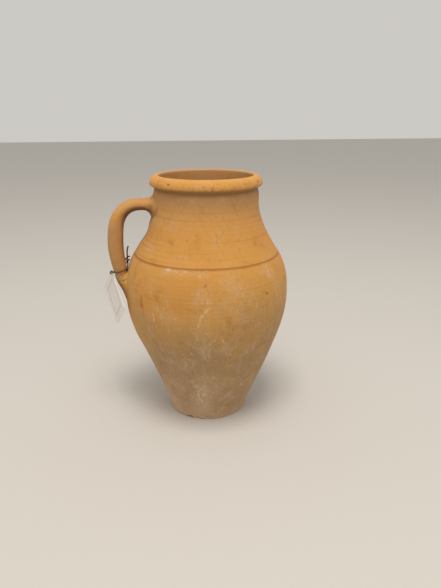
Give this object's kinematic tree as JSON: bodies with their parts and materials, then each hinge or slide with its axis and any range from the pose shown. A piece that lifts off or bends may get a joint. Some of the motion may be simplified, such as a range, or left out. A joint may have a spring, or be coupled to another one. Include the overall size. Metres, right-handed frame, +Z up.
{
  "type": "pottery jar",
  "caption": "Unglazed earthenware jar with a round belly, incised shoulder line, rolled rim, pulled side handle and a blank card tag swinging on a lace; stands flat and stores goods or water.",
  "frame": {"origin": "middle of the flat base, on the axis the jar was thrown on", "axes": "+Z up along that axis; the handle stands towards -X, and -Y is the side the picture shows"},
  "size_m": [0.249, 0.2192, 0.33],
  "materials": {
    "earthenware": "unglazed, matt, with lime marks",
    "lace_leather": "brown, satin",
    "tag_card": "white card, matt"
  },
  "bodies": {
    "jar": {"lower_body": "earthenware", "shoulder_and_neck": "earthenware", "rolled_rim": "earthenware", "handle": "earthenware", "handle_top_lute": "earthenware", "handle_foot_lute": "earthenware", "tie_lace": "lace_leather"},
    "tag": {"hang_tag": "tag_card"}
  },
  "joints": [
    {"name": "tag_swing", "type": "hinge", "parent": "jar", "child": "tag", "pos_m": [-0.12821, 0.001, 0.20204], "axis": [-0.9403, -0.333, -0.0698], "range_deg": [-90, 30]}
  ]
}
